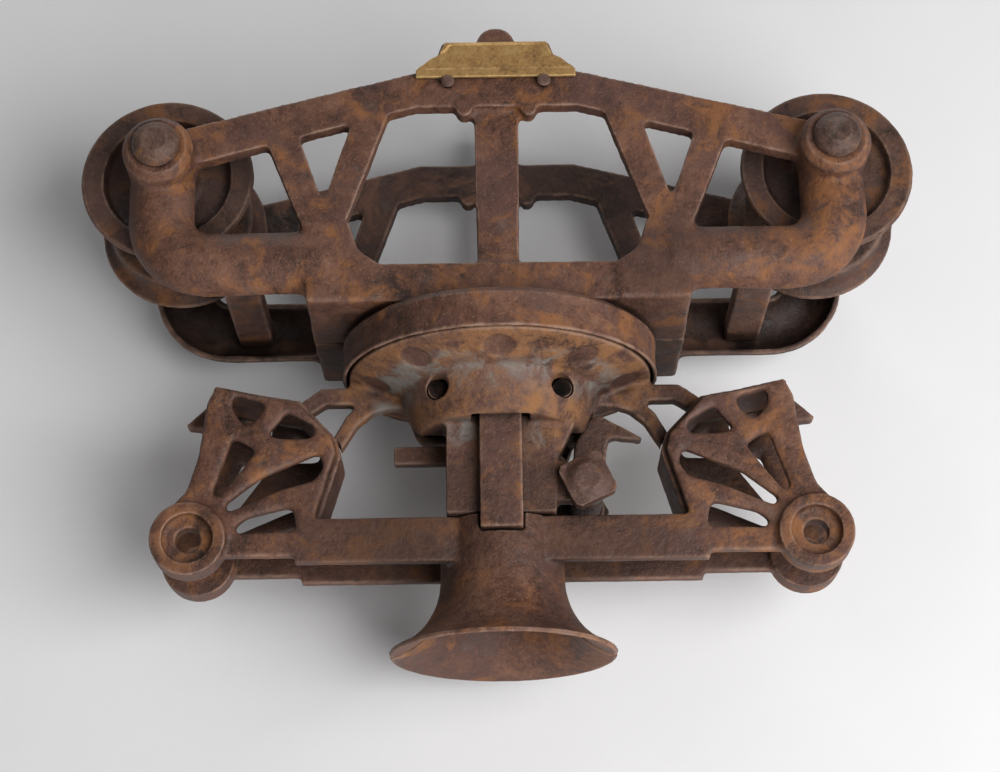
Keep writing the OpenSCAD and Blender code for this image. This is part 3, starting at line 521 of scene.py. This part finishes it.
def round_off(mesh, centres):
    """Rounds ribs and corners: near a centre, vertices move towards their neighbours."""
    count = len(mesh.vertices)
    places = numpy.empty(3 * count)
    mesh.vertices.foreach_get("co", places)
    places = places.reshape(count, 3)
    ends = numpy.empty(2 * len(mesh.edges), dtype=int)
    mesh.edges.foreach_get("vertices", ends)
    first, second = ends.reshape(-1, 2).T
    owner = numpy.concatenate((first, second))
    other = numpy.concatenate((second, first))
    links = numpy.bincount(owner, minlength=count).reshape(count, 1)
    share = numpy.zeros(count)
    for centre in centres:
        away = numpy.linalg.norm(places - numpy.array(centre), axis=1)
        share = numpy.maximum(share, numpy.clip((ROUND_OUTER - away) / (ROUND_OUTER - ROUND_INNER), 0, 1))
    share = SMOOTHING * share.reshape(count, 1)
    for _ in range(ROUND_PASSES):
        sums = [numpy.bincount(owner, weights=places[other, axis], minlength=count) for axis in range(3)]
        places += share * (numpy.stack(sums, axis=1) / links - places)
    mesh.vertices.foreach_set("co", places.ravel())
    mesh.update()


def skin(nodes, material, cast, domes=(), worn_round=()):
    """A cast skin with soft edges and an uneven face, which stands for the nodes and rides with them."""
    nodes = nodes.split()
    rough = joined(nodes[0] + "_rough", nodes, domes)
    remesh = rough.modifiers.new("remesh", "REMESH")
    remesh.mode = "VOXEL"
    remesh.voxel_size = cast.voxel
    remesh.use_smooth_shade = True
    soften = rough.modifiers.new("soften", "SMOOTH")
    soften.factor = SMOOTHING
    soften.iterations = cast.passes
    for name, texture, strength in (("lumps", LUMPS, cast.lump), ("dents", DENTS, cast.dent)):
        uneven = rough.modifiers.new(name, "DISPLACE")
        uneven.texture = texture
        uneven.texture_coords = "LOCAL"
        uneven.strength = strength
        uneven.mid_level = 1
    bpy.context.view_layer.update()
    graph = bpy.context.evaluated_depsgraph_get()
    mesh = bpy.data.meshes.new_from_object(rough.evaluated_get(graph))
    bpy.data.objects.remove(rough)
    if worn_round:
        round_off(mesh, worn_round)
    mesh.materials.clear()
    mesh.materials.append(material)
    piece = link(bpy.data.objects.new(nodes[0] + "_skin", mesh))
    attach(piece, BODY_OF[nodes[0]])
    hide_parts(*nodes)


def make_stage():
    """The floor that the trolley lies on."""
    size = FLOOR_SIZE / 2
    mesh = bpy.data.meshes.new("floor")
    corners = [(-size, -size, 0), (size, -size, 0), (size, size, 0), (-size, size, 0)]
    mesh.from_pydata(corners, [], [(0, 1, 2, 3)])
    floor = link(bpy.data.objects.new("floor", mesh))
    floor.location.z = cad_box[0].z
    mesh.materials.append(pale_floor("floor_paint"))


def make_lamps():
    """Round lamps that look at the trolley."""
    for name, lamp in (("main_lamp", MAIN_LAMP), ("low_lamp", LOW_LAMP), ("back_lamp", BACK_LAMP)):
        data = bpy.data.lights.new(name, "AREA")
        data.shape = "DISK"
        data.size = lamp["size"]
        data.energy = lamp["watts"]
        made = link(bpy.data.objects.new(name, data))
        made.location = lamp["place"]
        made.rotation_euler = (LAMP_AIM - lamp["place"]).to_track_quat("-Z", "Y").to_euler()


def make_sky():
    """An even white sky, which looks brighter to the camera and in glosses than it shines."""
    world = bpy.data.worlds.new("sky")
    bpy.context.scene.world = world
    world.use_nodes = True
    tree = world.node_tree
    back = tree.nodes["Background"]
    back.inputs["Color"].default_value = (1, 1, 1, 1)
    path = tree.nodes.new("ShaderNodeLightPath")
    seen = tree.nodes.new("ShaderNodeMath")
    seen.operation = "MAXIMUM"
    tree.links.new(path.outputs["Is Camera Ray"], seen.inputs[0])
    tree.links.new(path.outputs["Is Glossy Ray"], seen.inputs[1])
    level = tree.nodes.new("ShaderNodeMapRange")
    tree.links.new(seen.outputs["Value"], level.inputs["Value"])
    level.inputs["To Min"].default_value = SKY_LIGHT
    level.inputs["To Max"].default_value = SKY_SHOWN
    tree.links.new(level.outputs["Result"], back.inputs["Strength"])


def make_camera():
    """The camera, which looks down at the trolley."""
    data = bpy.data.cameras.new("camera")
    data.sensor_width = CAMERA_SENSOR
    data.lens = CAMERA_LENS
    camera = link(bpy.data.objects.new("camera", data))
    toward = Vector((0, -math.sin(CAMERA_TILT), math.cos(CAMERA_TILT)))
    camera.matrix_world = (
        Matrix.Translation(CAMERA_TARGET + toward * CAMERA_DISTANCE)
        @ Matrix.Rotation(CAMERA_TILT, 4, "X")
        @ Matrix.Rotation(CAMERA_ROLL, 4, "Z")
    )
    bpy.context.scene.camera = camera
    bpy.context.scene.view_settings.view_transform = "Standard"


def dimple_middles(turn):
    """Middles of the dimples round the turning joint's axis."""
    angles = [2 * math.pi * i / DIMPLES for i in range(DIMPLES)]
    return [turn + Vector((DIMPLE_REACH * math.sin(t), DIMPLE_Y, DIMPLE_REACH * math.cos(t)))
            for t in angles]


def make_irons(pins):
    """The irons by name, with rust, wear and painted shade at their places; pins are the rope pins'
    middles.
    """
    joints = frame["record"]["behaviour"]["joints"]
    turn = next(Vector(joint["pos_m"]) for joint in joints if joint["name"] == "swivel_turn")
    boss_rust = [mask for pin in pins for mask in spots(*BOSS_RUST, pin)]
    flange_rust = bands(FLANGE_RUST, turn) + spots(*DRUM_RUST, turn)
    flange_worn = bands(FLANGE_WORN, turn) + spots(*DRUM_WORN, turn)
    discs = [near(place, DIMPLE_INNER, DIMPLE_OUTER) for place in dimple_middles(turn)]
    made = [
        rusty_iron("frame_rust", spots(*BEND_RUST), shade_at=spots(*CORNER_SHADE)),
        rusty_iron("back_rust_and_painted_shade", spots(*FOOT_RUST)),
        rusty_iron("head_rust", flange_rust, flange_worn, discs, spots(*THROAT_SHADE)),
        rusty_iron("swivel_rust", boss_rust + spots(*ARM_RUST), shade_at=spots(*ARM_SHADE)),
        rusty_iron("wheel_rust"),
        rusty_iron("forged_rust"),
        rusty_iron("bolt_rust"),
        rusty_iron("inner_iron_painted_shade", gloss=INNER_GLOSS),
    ]
    return {iron.name: iron for iron in made}


def dress():
    """Gives every node its skin or its finish."""
    pins = [Vector(m["pos_m"]) for m in frame["record"]["mounts"] if "rope_pin" in m["name"]]
    irons = make_irons(pins)
    brass = dull_brass("old_brass", BRASS_SEED)
    bolt = irons["bolt_rust"]
    forged = irons["forged_rust"]
    swivel = irons["swivel_rust"]
    inner = irons["inner_iron_painted_shade"]
    skin("near_side_frame", irons["frame_rust"], FRAME_CAST, worn_round=NEAR_CORNERS)
    # The far frame wears the darker iron: painted shade
    skin("far_side_frame", irons["back_rust_and_painted_shade"], FRAME_CAST, worn_round=FAR_CORNERS)
    skin("turntable_ring", irons["frame_rust"], RING_CAST)
    skin("swivel_head throat", irons["head_rust"], HEAD_CAST)
    for side, out in (("near", 1), ("far", -1)):
        ribs = [guard_middle(pin, out) for pin in pins]
        skin(f"{side}_yoke {side}_left_guard {side}_right_guard", swivel, YOKE_CAST,
             worn_round=ribs)
        skin(f"{side}_strap", forged, STRAP_CAST)
        for end in ("left", "right"):
            skin(f"{side}_{end}_wheel", irons["wheel_rust"], WHEEL_CAST)
            low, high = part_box(f"{side}_{end}_axle")
            foot = (low + high) / 2
            foot.z = (high.z if out > 0 else low.z) - out * HEAD_HEIGHT
            skin(f"{side}_{end}_axle", bolt, BOLT_CAST, [(foot, HEAD_RADIUS, HEAD_HEIGHT, out)])
    for end in ("left", "right"):
        skin(f"{end}_guard_wall", swivel, WALL_CAST)
        skin(f"{end}_cross_tie", forged, TIE_CAST)
        # Jaws and jaw pins: near-black iron, painted shade
        skin(f"{end}_jaw", inner, JAW_CAST)
        skin(f"{end}_jaw_pin", inner, PIN_CAST)
    skin("lock_lever", forged, LEVER_CAST)
    for node in ("lever_bolt", "lever_nut", "axle_nuts", "king_collar"):
        skin(node, bolt, BOLT_CAST)
    skin("name_plate", brass, PLATE_CAST)
    skin("name_plate_rivets", bolt, RIVET_CAST)
    for cad in NODES.values():
        if not cad.hide_render:
            cad.data.materials.clear()
            cad.data.materials.append(bolt)


make_stage()
make_lamps()
make_sky()
make_camera()
dress()
